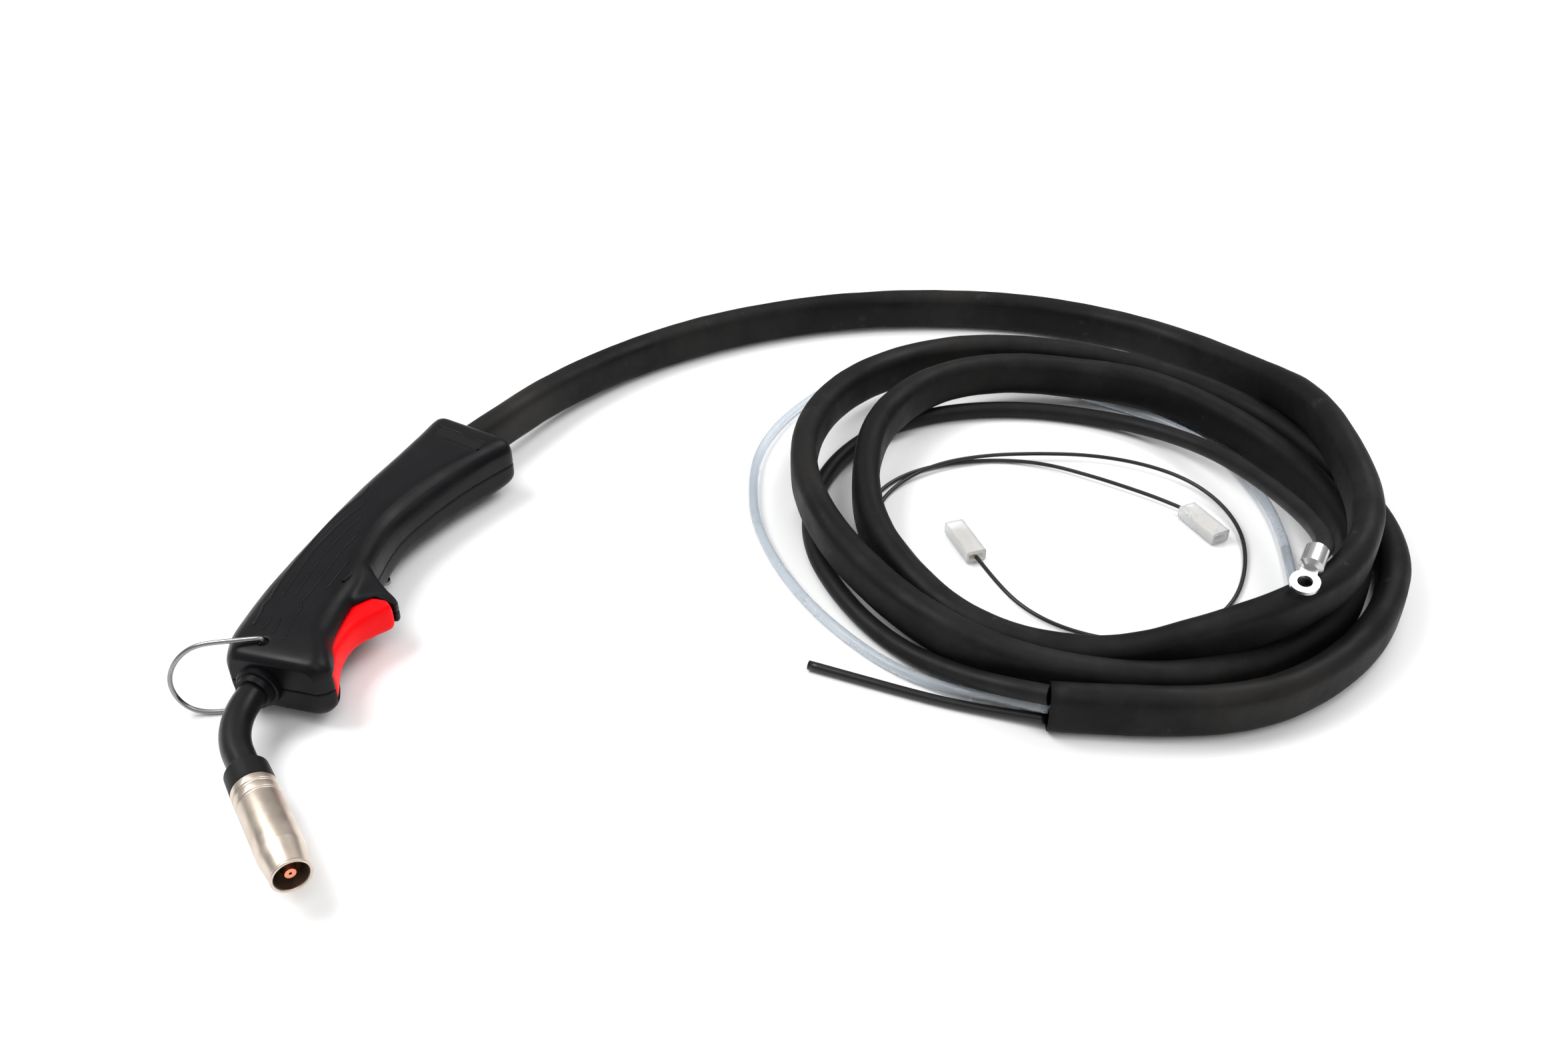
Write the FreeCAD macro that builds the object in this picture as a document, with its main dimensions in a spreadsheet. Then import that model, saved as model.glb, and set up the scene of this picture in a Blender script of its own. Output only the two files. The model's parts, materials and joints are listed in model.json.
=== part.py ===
import FreeCAD, Part
import math
import os

from FreeCAD import Placement, Rotation, Vector

# A gas-shielded (MIG/MAG) welding torch lying on its side, with its coiled cable sleeve and the
# stripped machine end: power cable with ring lug, gas hose, liner and two switch wires.
# Millimetres.  +X runs from the neck to the rear of the handle, +Z is up, the floor is z = 0 and
# the origin lies under the centre of the torch's own box (cables left out).

doc = FreeCAD.newDocument("welding_torch")
PARTS = []
UP = Vector(0, 0, 1)

# ---------------------------------------------------------------- driving dimensions
sheet = doc.addObject("Spreadsheet::Sheet", "dims")
DIMS = [
    ("mid_z", 19.0, "height of the handle's parting plane"),
    ("wall", 2.6, "wall of the handle shells"),
    ("neck_y", 16.35, "sideways place of the neck where it leaves the handle"),
    ("front_x", -53.0, "front face of the handle"),
    ("corner_x", -79.0, "where the neck's two straight axes cross"),
    ("neck_bend", 46.8, "bend of the swan neck in degrees"),
    ("neck_bend_radius", 45.0, "radius of that bend"),
    ("sleeve_radius", 6.4, "insulating sleeve on the neck"),
    ("tube_radius", 4.5, "metal tube inside the neck"),
    ("nozzle_radius", 9.3, "gas nozzle, outside"),
    ("mouth_radius", 7.75, "gas nozzle at its mouth"),
    ("nozzle_rear", 42.2, "rear rim of the nozzle, measured from the neck's corner"),
    ("nozzle_mouth", 93.3, "mouth of the nozzle, measured from the neck's corner"),
    ("spigot_radius", 7.25, "spigot that the nozzle slides on"),
    ("nozzle_bore", 7.3, "bore of the nozzle over the spigot"),
    ("trigger_half", 7.6, "half width of the trigger"),
    ("slot_half", 8.0, "half height of the trigger's slot"),
    ("pivot_x", -43.5, "trigger pin"),
    ("pivot_y", -9.5, "trigger pin"),
    ("pin_radius", 1.25, "trigger pin"),
    ("hook_x", -43.2, "axis that the hanging hook swings about"),
    ("hook_y", 17.3, "axis that the hanging hook swings about"),
    ("hook_wire", 1.1, "radius of the hook's wire"),
    ("boss_radius", 3.5, "screw bosses"),
    ("screw_radius", 1.25, "shell screws"),
    ("head_radius", 2.7, "heads of the shell screws"),
    ("cable_heading", -15.5, "direction of the cable sleeve at the rear, in degrees"),
    ("sleeve_wide", 14.5, "cable sleeve, width of its oval section"),
    ("sleeve_tall", 24.0, "cable sleeve, height of its oval section"),
    ("power_dia", 9.0, "power cable"),
    ("gas_dia", 5.0, "gas hose"),
    ("liner_dia", 4.4, "wire liner"),
    ("wire_dia", 2.1, "switch wires"),
]
for row, (alias, value, note) in enumerate(DIMS, start=1):
    sheet.set("A%d" % row, note)
    sheet.set("B%d" % row, str(value))
    sheet.setAlias("B%d" % row, alias)
doc.recompute()


def dim(alias):
    return float(sheet.get(alias))


# ---------------------------------------------------------------- small tools
def make_body(name):
    body = doc.addObject("PartDesign::Body", name)
    body.Label = name
    PARTS.append(body)
    return body


def make_sketch(body, name, role="XY_Plane", offset=None):
    made = body.newObject("Sketcher::SketchObject", name)
    plane = [p for p in body.Origin.OriginFeatures if p.Role == role][0]
    made.AttachmentSupport = [(plane, "")]
    made.MapMode = "FlatFace"
    if offset is not None:
        made.AttachmentOffset = offset
    return made


def pad(body, sketch, length, reversed=False):
    made = body.newObject("PartDesign::Pad", sketch.Name + "_pad")
    made.Profile = sketch
    made.Reversed = reversed
    made.setExpression("Length", length)
    return made


def pocket(body, sketch, length, reversed=False):
    made = body.newObject("PartDesign::Pocket", sketch.Name + "_cut")
    made.Profile = sketch
    made.Reversed = reversed
    made.setExpression("Length", length)
    return made


def polygon(sketch, points):
    corners = [Vector(x, y, 0) for x, y in points]
    for start, end in zip(corners, corners[1:] + corners[:1]):
        sketch.addGeometry(Part.LineSegment(start, end), False)


def circle(sketch, x, y, radius):
    sketch.addGeometry(Part.Circle(Vector(x, y, 0), UP, radius), False)


def inset_corners(corners, inset):
    """Moves each side of a polygon of (x, y, corner radius) inwards, rounding kept concentric."""
    moved = []
    for i, (x, y, radius) in enumerate(corners):
        ax, ay, _ = corners[i - 1]
        bx, by, _ = corners[(i + 1) % len(corners)]
        along_in = Vector(x - ax, y - ay, 0).normalize()
        along_out = Vector(bx - x, by - y, 0).normalize()
        left_in = Vector(-along_in.y, along_in.x, 0)
        left_out = Vector(-along_out.y, along_out.x, 0)
        turn = along_in.cross(along_out).z
        shift = (left_in + left_out) * (inset / (1 + left_in.dot(left_out)))
        kept = radius - inset if turn > 0 else radius + inset
        moved.append((x + shift.x, y + shift.y, max(kept, 0.6)))
    return moved


def rounded_edges(corners, z=0.0):
    """Straight sides with a tangent arc at each corner of a closed (x, y, radius) polygon."""
    ends = []
    for i, (x, y, radius) in enumerate(corners):
        ax, ay, _ = corners[i - 1]
        bx, by, _ = corners[(i + 1) % len(corners)]
        point = Vector(x, y, z)
        along_in = Vector(x - ax, y - ay, 0).normalize()
        along_out = Vector(bx - x, by - y, 0).normalize()
        half_turn = along_in.getAngle(along_out) / 2
        reach = radius * math.tan(half_turn)
        start = point - along_in * reach
        end = point + along_out * reach
        towards = (along_out - along_in).normalize()
        middle = point + towards * (radius / math.cos(half_turn) - radius)
        ends.append((start, middle, end))
    edges = []
    for (start, middle, end), (following, _, _) in zip(ends, ends[1:] + ends[:1]):
        edges.append(Part.Arc(start, middle, end))
        edges.append(Part.LineSegment(end, following))
    return edges


def outline(sketch, corners):
    for edge in rounded_edges(corners):
        sketch.addGeometry(edge, False)


def along_axis(z_offset, turn=0.0, y=0.0, z=0.0):
    """Places a sketch on the YZ plane: local x is Y, local y is Z, and it faces along X."""
    return Placement(Vector(y, z, z_offset), Rotation(Vector(0, 1, 0), turn))


def part_feature(name, shape, placement=None):
    made = doc.addObject("Part::Feature", name)
    made.Label = name
    made.Shape = shape
    if placement is not None:
        made.Placement = placement
    PARTS.append(made)
    return made


MID = dim("mid_z")
NECK_Y = dim("neck_y")
PARTING = Placement(Vector(0, 0, MID), Rotation())

# ---------------------------------------------------------------- tubes along routes
def route_wire(points, limit=1e9):
    """Straight runs joined by tangent arcs, each arc as large as its two runs and limit allow."""
    corners = [Vector(*p) for p in points]
    edges = []
    radii = []
    start = corners[0]
    limits = limit if isinstance(limit, list) else [limit] * len(corners)
    for before, corner, after, largest in zip(corners, corners[1:], corners[2:], limits):
        run_in = corner - before
        run_out = after - corner
        along_in = Vector(run_in).normalize()
        along_out = Vector(run_out).normalize()
        half_turn = along_in.getAngle(along_out) / 2
        reach = 0.45 * min(run_in.Length, run_out.Length)
        radius = reach / math.tan(half_turn)
        if radius > largest:
            radius = largest
            reach = radius * math.tan(half_turn)
        arc_start = corner - along_in * reach
        arc_end = corner + along_out * reach
        towards = (along_out - along_in).normalize()
        middle = corner + towards * (radius / math.cos(half_turn) - radius)
        edges.append(Part.LineSegment(start, arc_start).toShape())
        edges.append(Part.Arc(arc_start, middle, arc_end).toShape())
        radii.append(radius)
        start = arc_end
    edges.append(Part.LineSegment(start, corners[-1]).toShape())
    return Part.Wire(edges), radii


def section_wire(wide, tall, at, along):
    """A round or upright oval section standing across the start of a route."""
    if wide == tall:
        return Part.Wire(Part.Circle(at, along, wide / 2).toShape())
    side = along.cross(UP).normalize()
    rise = side.cross(along).normalize()
    radius = wide / 2
    straight = (tall - wide) / 2

    def spot(across, height):
        return at + side * across + rise * height

    return Part.Wire([
        Part.LineSegment(spot(radius, -straight), spot(radius, straight)).toShape(),
        Part.Arc(spot(radius, straight), spot(0, tall / 2), spot(-radius, straight)).toShape(),
        Part.LineSegment(spot(-radius, straight), spot(-radius, -straight)).toShape(),
        Part.Arc(spot(-radius, -straight), spot(0, -tall / 2), spot(radius, -straight)).toShape(),
    ])


def tube(name, points, wide, tall, limit=1e9):
    path, radii = route_wire(points, limit)
    first = Vector(*points[0])
    along = (Vector(*points[1]) - first).normalize()
    section = section_wire(wide, tall, first, along)
    if wide == tall:
        shape = path.makePipeShell([section], True, True)
    else:
        shape = upright_sweep(path, section)
    if shape.Volume < 0:
        shape.reverse()
    area = math.pi * wide * wide / 4 + wide * (tall - wide)
    print("%-18s length %7.1f  smallest radius %6.1f  volume / (section x length) %.3f"
          % (name, path.Length, min(radii), shape.Volume / (area * path.Length)))
    return part_feature(name, shape)


def upright_sweep(path, section):
    """Sweeps an oval so that its tall side stays upright all the way."""
    sweep = Part.BRepOffsetAPI.MakePipeShell(path)
    sweep.setBiNormalMode(UP)
    sweep.add(section)
    sweep.build()
    sweep.makeSolid()
    return sweep.shape()


# ---------------------------------------------------------------- handle shells
# Sections across the handle from the neck to the rear: x, y on the trigger's side, y on the back,
# depth below and height above the parting plane, corner radius on the trigger's side and on the
# back, and the heading of the section's normal in degrees.
HANDLE_SECTIONS = [
    (-53.0, -10.5, 30.0, 11.0, 12.5, 5, 7, 0),
    (-50.5, -14.5, 32.5, 13.0, 15.0, 7, 9, 0),
    (-46.0, -16.2, 34.8, 14.0, 16.0, 9, 10, 0),
    (-39.0, -12.8, 37.5, 14.8, 16.4, 9, 11, 0),
    (-28.0, -6.5, 39.5, 15.5, 16.5, 10, 12, 0),
    (-10.0, -3.0, 41.0, 16.0, 16.5, 10, 12, 0),
    (10.0, -1.5, 41.3, 16.0, 16.5, 11, 12, 0),
    (30.0, 2.5, 41.0, 16.0, 16.5, 12, 12, -4),
    (55.0, 5.0, 40.3, 16.3, 16.5, 13, 12, -6),
    (80.0, 1.0, 38.5, 16.5, 16.5, 13, 12, -10),
    (105.0, -6.0, 35.5, 16.5, 16.0, 11, 11, -12),
    (125.0, -13.8, 33.5, 15.5, 15.5, 9, 10, -14),
    (137.0, -19.0, 32.3, 14.2, 15.2, 9, 9, -15.5),
    (141.0, -19.3, 30.5, 12.0, 13.5, 7, 8, -15.5),
    (142.8, -17.0, 26.0, 9.5, 11.0, 6, 6, -15.5),
]
# The finger guard behind the trigger, as level slices from the handle's flank out to its tip:
# y, x at the front and at the rear, half height, corner radius. Its cheeks reach forward on
# both sides of the slot.
GUARD_SLICES = [
    (5.0, -12.0, 26.0, 14.0, 8.0),
    (0.0, -7.0, 21.0, 11.6, 6.0),
    (-5.0, 0.0, 16.8, 10.0, 5.0),
    (-10.0, 4.6, 13.8, 8.8, 4.0),
    (-15.0, 5.0, 11.4, 7.4, 3.0),
    (-18.0, 5.0, 9.4, 6.6, 2.0),
    (-18.9, 5.7, 8.4, 5.8, 1.3),
]
LABEL_PLAN = [(119.4, -7.2, 1.5), (126.9, -7.3, 1.5), (135.9, 22.0, 1.5), (128.4, 22.2, 1.5)]
LABEL_FLOOR = 33.5
# Screws from below: x, y and the height of the head's lower face.
SCREW_PLACES = [(-43.5, 28.0, 5.6), (22.0, 36.5, 6.3), (40.0, 8.4, 5.2), (100.0, 32.5, 6.0),
                (104.0, 2.5, 3.8)]
HEAD_THICK = 1.8
RIB_PLACES = [-36.0, -24.0]
CABLE_ENTRY = Vector(126.0, 14.0, MID)
BLOCK_FLANGE = 9.5
SLOT_PLAN = [(5.6, -22.0), (5.6, 4.2), (-36.0, 4.2), (-48.6, -6.0), (-48.9, -9.5), (-48.3, -13.0),
             (-46.5, -15.9), (-46.3, -22.0)]


def handle_section(section, inset):
    """A rounded rectangle standing across the handle, all its sides moved in by the inset."""
    x, y_trigger, y_back, below, above, r_trigger, r_back, heading = section
    middle = (y_trigger + y_back) / 2
    half = (y_back - y_trigger) / 2 - inset
    low = -below + inset
    high = above - inset
    near = r_trigger - inset
    far = r_back - inset
    corners = [(half - far, high - far, far, 0), (-half + near, high - near, near, 90),
               (-half + near, low + near, near, 180), (half - far, low + far, far, 270)]
    place = Placement(Vector(x, middle, MID), Rotation(UP, heading))

    def spot(across, height):
        return place.multVec(Vector(0, across, height))

    arcs = []
    for across, height, radius, start in corners:
        points = []
        for angle in (start, start + 45, start + 90):
            turn = math.radians(angle)
            points.append(spot(across + radius * math.cos(turn), height + radius * math.sin(turn)))
        arcs.append(points)
    edges = []
    for points, following in zip(arcs, arcs[1:] + arcs[:1]):
        edges.append(Part.Arc(*points).toShape())
        edges.append(Part.LineSegment(points[2], following[0]).toShape())
    return Part.Wire(edges)


def handle_loft(sections, inset):
    return Part.makeLoft([handle_section(section, inset) for section in sections], True, False)


def guard_loft():
    wires = []
    for y, front, rear, half, radius in GUARD_SLICES:
        corners = [(front, -half, radius), (rear, -half, radius), (rear, half, radius),
                   (front, half, radius)]
        wire = Part.Wire([edge.toShape() for edge in rounded_edges(corners)])
        wire.Placement = Placement(Vector(0, y, MID), Rotation(Vector(1, 0, 0), 90))
        wires.append(wire)
    return Part.makeLoft(wires, True, False)


def prism(corners, low, high):
    """An upright block over a rounded plan."""
    face = Part.Face(Part.Wire([edge.toShape() for edge in rounded_edges(corners, low)]))
    return face.extrude(Vector(0, 0, high - low))


def cylinder(x, y, radius, low, high):
    return Part.makeCylinder(radius, high - low, Vector(x, y, low))


PIVOT = (dim("pivot_x"), dim("pivot_y"))
HOOK = (dim("hook_x"), dim("hook_y"))
WALL = dim("wall")
handle_outside = handle_loft(HANDLE_SECTIONS, 0.0)
handle_inside = handle_loft(HANDLE_SECTIONS[1:-1], WALL)


def shell(name, side):
    """One half of the handle; side is 1 for the top half and -1 for the bottom half."""
    top = side > 0
    half = Part.makeBox(300, 140, 40, Vector(-100, -60, MID if top else MID - 40))
    skin = handle_outside.fuse(guard_loft()).cut(handle_inside)

    # screw bosses, cradle ribs for the neck block, posts for the hook and the trigger pin
    inner = [cylinder(x, y, dim("boss_radius"), 0, 40) for x, y, _ in SCREW_PLACES]
    for x in RIB_PLACES:
        inner.append(Part.makeBox(2.0, 23.0, 40.0, Vector(x, 5.0, 0)))
    for x, y in (PIVOT, HOOK):
        low = MID + 9.0 if top else 0.0
        inner.append(cylinder(x, y, 3.0, low, low + 40 if top else MID - 9.0))
    inner = [piece.common(handle_outside) for piece in inner]
    whole = skin.fuse(inner)

    # seats, cable hole, trigger slot, holes
    slot = prism([(x, y, 0.4) for x, y in SLOT_PLAN], MID - dim("slot_half"), MID + dim("slot_half"))
    along = Vector(1, 0, 0)
    removed = [
        Part.makeCylinder(dim("sleeve_radius") + 0.05, 40, Vector(-70.0, NECK_Y, MID), along),
        Part.makeCylinder(BLOCK_FLANGE + 0.05, 20.3, Vector(-38.95, NECK_Y, MID), along),
        oval_bar(dim("sleeve_wide") + 0.9, dim("sleeve_tall") + 0.9, 40.0), slot,
        cylinder(PIVOT[0], PIVOT[1], dim("pin_radius") + 0.01, MID - 13.1, MID + 13.1),
        cylinder(HOOK[0], HOOK[1], dim("hook_wire") + 0.05, 0, 40),
        cylinder(HOOK[0], HOOK[1], 2.4, 33.9, 40), cylinder(HOOK[0], HOOK[1], 2.4, 0, 5.9),
        prism(LABEL_PLAN, LABEL_FLOOR, 40),
    ]
    for x, y, seat in SCREW_PLACES:
        removed.append(cylinder(x, y, dim("screw_radius") + 0.1, seat, 29.5))
        removed.append(cylinder(x, y, dim("head_radius") + 0.2, -1, seat + HEAD_THICK))
    part_feature(name, whole.cut(removed).common(half).removeSplitter())


def oval_bar(wide, tall, length):
    """The cable sleeve's oval, standing on end, pushed along the sleeve's heading."""
    heading = Rotation(UP, dim("cable_heading"))
    along = heading.multVec(Vector(1, 0, 0))
    oval = section_wire(wide, tall, CABLE_ENTRY, along)
    return Part.Face(oval).extrude(along * length)


shell("handle_top_shell", 1)
shell("handle_bottom_shell", -1)

# blank plate in the recess on top, and the screws from below
label = make_body("label_plate")
label_sketch = make_sketch(label, "label_outline",
                           offset=Placement(Vector(0, 0, LABEL_FLOOR + 0.05), Rotation()))
outline(label_sketch, inset_corners(LABEL_PLAN, 0.15))
pad(label, label_sketch, "0.6")

for count, (x, y, seat) in enumerate(SCREW_PLACES, start=1):
    name = "shell_screw_%d" % count
    screw = make_body(name)
    profile = make_sketch(screw, name + "_profile", "XZ_Plane")
    polygon(profile, [(0, 0), (2.5, 0), (2.5, HEAD_THICK), (1.25, HEAD_THICK), (1.25, 20.0), (0.9, 21.0),
                      (0, 21.0)])
    turned = screw.newObject("PartDesign::Revolution", name + "_turned")
    turned.Profile = profile
    turned.ReferenceAxis = (profile, ["V_Axis"])
    slot = make_sketch(screw, name + "_drive")
    polygon(slot, [(-1.6, -0.35), (1.6, -0.35), (1.6, 0.35), (-1.6, 0.35)])
    pocket(screw, slot, "0.9", True)
    screw.Placement = Placement(Vector(x, y, seat), Rotation())

# ---------------------------------------------------------------- neck
BEND = math.radians(dim("neck_bend"))
CORNER = Vector(dim("corner_x"), NECK_Y, MID)
OUTWARD = Vector(-math.cos(BEND), -math.sin(BEND), 0)
REACH = dim("neck_bend_radius") * math.tan(BEND / 2)


def neck_tube(name, outer, inner, start_x, end_distance):
    """A tube along the neck: straight from the handle, one bend, straight to the nozzle."""
    body = make_body(name)
    path = make_sketch(body, name + "_path", offset=PARTING)
    begin = Vector(start_x, NECK_Y, 0)
    bend_in = Vector(CORNER.x + REACH, NECK_Y, 0)
    flat_corner = Vector(CORNER.x, NECK_Y, 0)
    bend_out = flat_corner + OUTWARD * REACH
    to_centre = (Vector(1, 0, 0) + OUTWARD).normalize()
    half = dim("neck_bend_radius") / math.cos(BEND / 2) - dim("neck_bend_radius")
    path.addGeometry(Part.LineSegment(begin, bend_in), False)
    path.addGeometry(Part.Arc(bend_in, flat_corner + to_centre * half, bend_out), False)
    path.addGeometry(Part.LineSegment(bend_out, flat_corner + OUTWARD * end_distance), False)
    ring = make_sketch(body, name + "_ring", "YZ_Plane", along_axis(start_x, y=NECK_Y, z=MID))
    circle(ring, 0, 0, outer)
    if inner > 0:
        circle(ring, 0, 0, inner)
    pipe = body.newObject("PartDesign::AdditivePipe", name + "_pipe")
    pipe.Profile = ring
    pipe.Spine = (path, ["Edge1", "Edge2", "Edge3"])
    return body


neck_tube("neck_sleeve", dim("sleeve_radius"), dim("tube_radius"), -39.0, 36.0)
neck_tube("neck_tube", dim("tube_radius"), 2.6, -36.0, 62.0)
neck_tube("neck_liner", 2.5, 1.2, -20.0, 66.0)


def turned_part(name, points, angle=None, origin=None):
    """A turned piece on the neck's outer axis, from (distance, radius) points off the corner."""
    body = make_body(name)
    profile = make_sketch(body, name + "_profile", "XZ_Plane")
    polygon(profile, points)
    made = body.newObject("PartDesign::Revolution", name + "_turned")
    made.Profile = profile
    made.ReferenceAxis = (profile, ["H_Axis"])
    heading = 180 + dim("neck_bend") if angle is None else angle
    body.Placement = Placement(CORNER if origin is None else origin, Rotation(UP, heading))
    return body


turned_part("neck_collar", [(0, 6.45), (0, 10.0), (2.4, 10.0), (3.0, 9.4), (3.0, 8.4), (6.2, 8.0),
                            (6.2, 6.45)], angle=180, origin=Vector(dim("front_x"), NECK_Y, MID))
turned_part("neck_block", [(0, 4.5), (0, BLOCK_FLANGE), (5.0, BLOCK_FLANGE), (6.0, 8.0), (10.0, 8.0),
                           (11.0, BLOCK_FLANGE), (20.0, BLOCK_FLANGE), (20.0, 2.6), (6.0, 2.6),
                           (6.0, 4.5)], angle=0, origin=Vector(-38.8, NECK_Y, MID))
SPIGOT = dim("spigot_radius")
turned_part("insulator", [(29.5, 6.45), (29.5, 7.6), (31.5, 9.0), (42.0, 9.25), (42.0, SPIGOT),
                          (49.8, SPIGOT),
                          (49.8, 6.3), (54.2, 6.3), (54.2, SPIGOT), (60.0, SPIGOT), (60.0, 4.55),
                          (36.2, 4.55), (36.2, 6.45)])
turned_part("nozzle_clip_ring", [(50.0, 6.35), (50.0, 7.2), (54.0, 7.2), (54.0, 6.35)])
diffuser = turned_part("gas_diffuser", [(60.2, 4.55), (60.2, 6.2), (69.0, 6.2), (72.0, 4.6),
                                        (72.0, 2.5), (66.2, 2.5), (66.2, 2.6), (62.2, 2.6),
                                        (62.2, 4.55)])
for turn in range(4):
    gas_hole = make_sketch(diffuser, "gas_hole_%d" % turn, "XZ_Plane" if turn % 2 else "XY_Plane")
    circle(gas_hole, 64.5, 0, 0.8)
    pocket(diffuser, gas_hole, "10", turn > 1)
turned_part("contact_tip", [(66.4, 0.6), (66.4, 2.4), (72.2, 2.4), (72.2, 3.0), (88.5, 3.0),
                            (91.5, 2.2), (91.5, 0.6)])
REAR = dim("nozzle_rear")
MOUTH = dim("nozzle_mouth")
OUTER = dim("nozzle_radius")
turned_part("nozzle", [
    (REAR, dim("nozzle_bore")), (REAR, OUTER - 0.4), (REAR + 0.4, OUTER), (REAR + 3.6, OUTER),
    (REAR + 3.9, OUTER - 0.6), (REAR + 4.7, OUTER - 0.6), (REAR + 5.0, OUTER),
    (REAR + 8.6, OUTER), (REAR + 8.9, OUTER - 0.6), (REAR + 9.7, OUTER - 0.6),
    (REAR + 10.0, OUTER), (MOUTH - 13.0, OUTER), (MOUTH, dim("mouth_radius")), (MOUTH, 6.4),
    (MOUTH - 11.0, 7.3 + 0.5), (REAR + 34.0, 7.8), (REAR + 19.0, 7.8), (REAR + 18.5, 7.3),
])

# ---------------------------------------------------------------- trigger and switch
# Plan of the trigger at its middle height: x, y, corner radius, and how far the corner moves
# towards the handle at the trigger's top and bottom, which makes its finger face round.
TRIGGER_PLAN = [
    (4.8, -8.0, 0.8, 0.0), (3.0, -4.6, 1.5, 0.0), (-36.0, -4.6, 3.0, 0.0), (-43.5, -5.6, 3.0, 0.0),
    (-47.6, -9.5, 3.0, 0.0), (-46.8, -13.6, 0.6, 0.4), (-45.9, -16.2, 0.6, 2.0),
    (-41.0, -14.4, 12.0, 2.8), (-35.0, -11.4, 12.0, 3.0), (-28.0, -8.4, 12.0, 3.0),
    (-18.5, -7.4, 12.0, 2.4), (-11.5, -9.0, 12.0, 2.6), (-4.5, -12.8, 12.0, 2.4),
    (2.2, -17.4, 1.4, 1.6), (4.8, -15.6, 1.4, 1.0),
]
TRIGGER_LAYERS = [-1.0, -0.72, -0.36, 0.0, 0.36, 0.72, 1.0]
trigger_wires = []
for layer in TRIGGER_LAYERS:
    plan = [(x, y + move * layer * layer, radius) for x, y, radius, move in TRIGGER_PLAN]
    edges = rounded_edges(plan, MID + dim("trigger_half") * layer)
    trigger_wires.append(Part.Wire([edge.toShape() for edge in edges]))
trigger_solid = Part.makeLoft(trigger_wires, True, False)
# side walls that reach into the slot on both sides of the switch
WALL_PLAN = [(-36.0, -6.0, 0.4), (-34.0, 0.4, 2.0), (0.0, 2.0, 2.0), (3.6, 0.6, 1.5), (4.4, -8.5, 0.4)]
for low, high in ((-7.59, -5.9), (5.9, 7.59)):
    trigger_solid = trigger_solid.fuse(prism(WALL_PLAN, MID + low, MID + high))
part_feature("trigger", trigger_solid.cut(cylinder(PIVOT[0], PIVOT[1], dim("pin_radius") + 0.05, 0, 40)))

pin = make_body("trigger_pin")
pin_sketch = make_sketch(pin, "pin_circle", offset=PARTING)
circle(pin_sketch, dim("pivot_x"), dim("pivot_y"), dim("pin_radius"))
pin_pad = pad(pin, pin_sketch, "26")
pin_pad.Midplane = True

SWITCH_X = -9.0
switch = make_body("switch_body")
case = make_sketch(switch, "switch_case", offset=PARTING)
polygon(case, [(SWITCH_X - 9, 1.0), (SWITCH_X + 9, 1.0), (SWITCH_X + 9, 8.6), (SWITCH_X - 9, 8.6)])
case_pad = pad(switch, case, "10")
case_pad.Midplane = True
bore = make_sketch(switch, "switch_bore", "XZ_Plane", Placement(Vector(SWITCH_X, MID, 0), Rotation()))
circle(bore, 0, 0, 1.55)
pocket(switch, bore, "7.5")

plunger = make_body("switch_plunger")
plunger_sketch = make_sketch(plunger, "plunger_circle", "XZ_Plane",
                             Placement(Vector(SWITCH_X, MID, -4.0), Rotation()))
circle(plunger_sketch, 0, 0, 1.5)
plunger_pad = pad(plunger, plunger_sketch, "8.2")

for count, y in enumerate((3.6, 6.8), start=1):
    terminal = doc.addObject("Part::Box", "switch_terminal_%d" % count)
    terminal.Label = "switch_terminal_%d" % count
    terminal.Length = 3.2
    terminal.Width = 2.6
    terminal.Height = 0.5
    terminal.Placement = Placement(Vector(SWITCH_X + 9.05, y - 1.3, MID), Rotation())
    PARTS.append(terminal)

# return spring round the plunger
SPRING_TURNS = 3.5
SPRING_START = 0.55
SPRING_LONG = 4.6
STEPS = 8
spring_points = []
for step in range(int(SPRING_TURNS * STEPS) + 1):
    turn = 2 * math.pi * step / STEPS
    spring_points.append((SWITCH_X + 2.4 * math.cos(turn),
                          SPRING_START - SPRING_LONG * step / (SPRING_TURNS * STEPS),
                          MID + 2.4 * math.sin(turn)))
tube("trigger_spring", spring_points, 0.6, 0.6)

# ---------------------------------------------------------------- leads, clamp and hook
# leads inside the handle, from the neck block and the switch to the cable sleeve
tube("inner_power_lead", [(-18.6, 13.4, 15.2), (18, 18, 13.4), (60, 23, 12.6), (96, 21, 12.8),
                          (125, 14.4, 13.1)], dim("power_dia"), dim("power_dia"))
tube("inner_gas_hose", [(-18.6, 22.8, 17.5), (18, 29, 20), (60, 33, 24), (96, 26, 27),
                        (125, 14.4, 26.5)], dim("gas_dia"), dim("gas_dia"))
tube("inner_liner", [(-18.6, 16.9, 25.4), (18, 21, 24.4), (60, 24.5, 22.4), (96, 21.5, 21.4),
                     (125, 14.4, 20.8)], dim("liner_dia"), dim("liner_dia"))
tube("switch_lead_1", [(3.5, 3.6, 19.25), (16, 7, 24), (34, 15.5, 28.5), (64, 16, 28.5),
                       (96, 15.5, 26.5), (124.6, 10.1, 21.9)], dim("wire_dia"), dim("wire_dia"))
tube("switch_lead_2", [(3.5, 6.8, 19.25), (17, 10, 24.5), (36, 19.5, 30.3), (64, 20, 30.3),
                       (96, 18, 29.5), (124.6, 10.2, 24.2)], dim("wire_dia"), dim("wire_dia"))

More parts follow.
